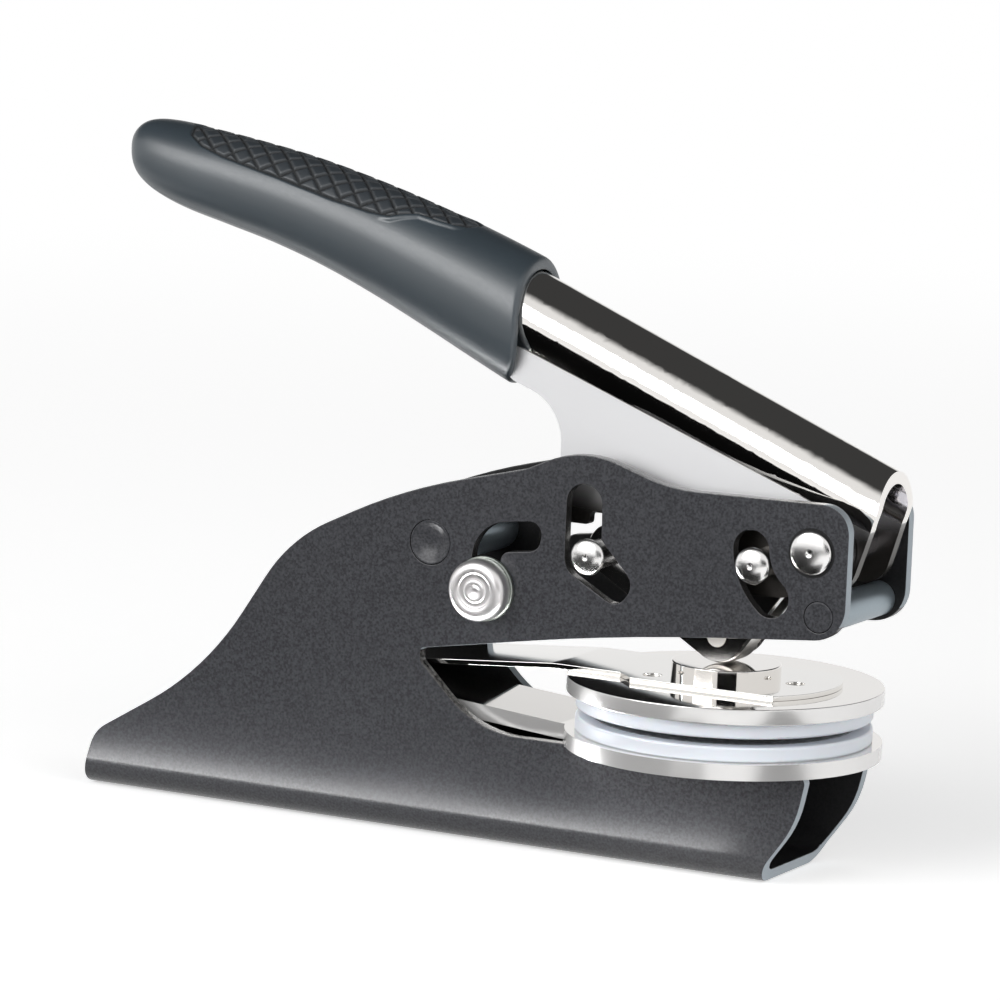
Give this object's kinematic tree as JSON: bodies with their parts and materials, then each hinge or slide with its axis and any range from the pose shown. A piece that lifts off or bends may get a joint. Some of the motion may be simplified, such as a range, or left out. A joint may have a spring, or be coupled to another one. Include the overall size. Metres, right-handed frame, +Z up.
{
  "type": "seal embosser",
  "caption": "Hand seal embosser: folded sheet frame, round spring-armed embossing dies, and a gripped lever that presses them through a link.",
  "frame": {"origin": "on the surface that the embosser stands on, straight under the common centre of the two round dies, in its middle plane", "axes": "+X from the rear towards the dies, along the base; +Y across, to the far plate; +Z up"},
  "size_m": [0.138, 0.05, 0.1095],
  "materials": {
    "frame_paint": "fine satin powder coat, dark charcoal",
    "nickel": "polished nickel plate",
    "spring_steel": "bright spring steel strip",
    "link_steel": "zinc-plated steel",
    "tie_steel": "grey steel, its ends painted with the frame",
    "washer_grey": "grey-green passivated steel",
    "white_plastic": "smooth white moulded plastic",
    "die_plastic": "matt grey plastic",
    "holder_plastic": "matt black moulded plastic",
    "grip_rubber": "satin blue-grey rubber"
  },
  "bodies": {
    "base": {"frame": "frame_paint", "front_pivot_pin": "nickel", "front_tie": "tie_steel", "rear_tie": "tie_steel", "clip_holder": "holder_plastic", "lower_die_arm": "nickel", "lower_die_ring": "white_plastic", "lower_die": "die_plastic", "clip_spacer": "die_plastic", "clip_rivets": "nickel"},
    "lever_body": {"lever": "nickel", "grip": "grip_rubber", "pivot_bush": "link_steel", "pivot_washers": "link_steel", "link_pin": "nickel"},
    "press_link": {"near_link_plate": "link_steel", "far_link_plate": "link_steel", "press_nose": "link_steel", "nose_pin": "link_steel", "guide_pin": "nickel", "guide_spacer": "link_steel"},
    "upper_arm": {"upper_spring_arm": "spring_steel", "upper_disc": "nickel", "upper_die_ring": "white_plastic", "upper_die": "die_plastic", "disc_rivets": "nickel", "pressure_button": "nickel"},
    "lock_pin": {"lock_shaft": "link_steel", "near_lock_knob": "nickel", "far_lock_knob": "nickel", "lock_washers": "washer_grey"}
  },
  "joints": [
    {"name": "handle", "type": "hinge", "parent": "base", "child": "lever_body", "pos_m": [0.0192, 0, 0.053], "axis": [0, -1, 0], "range_deg": [-14, 6], "stiffness_Nm_per_rad": 3, "springref_deg": -0.69},
    {"name": "link", "type": "hinge", "parent": "lever_body", "child": "press_link", "pos_m": [0.00946, 0, 0.04997], "axis": [0, -1, 0], "range_deg": [-6.7, 15.5]},
    {"name": "clip_arm", "type": "hinge", "parent": "base", "child": "upper_arm", "pos_m": [-0.074, 0, 0.0259], "axis": [0, 1, 0], "range_deg": [-1.7, 0.75]},
    {"name": "lock", "type": "hinge", "parent": "base", "child": "lock_pin", "pos_m": [-0.02999, 0, 0.0435], "axis": [0, 1, 0], "range_deg": [0, 118]}
  ],
  "couplings": [
    {"joint": "link", "follows": "handle", "ratio": -1.1},
    {"joint": "clip_arm", "follows": "handle", "ratio": 0.1167}
  ]
}
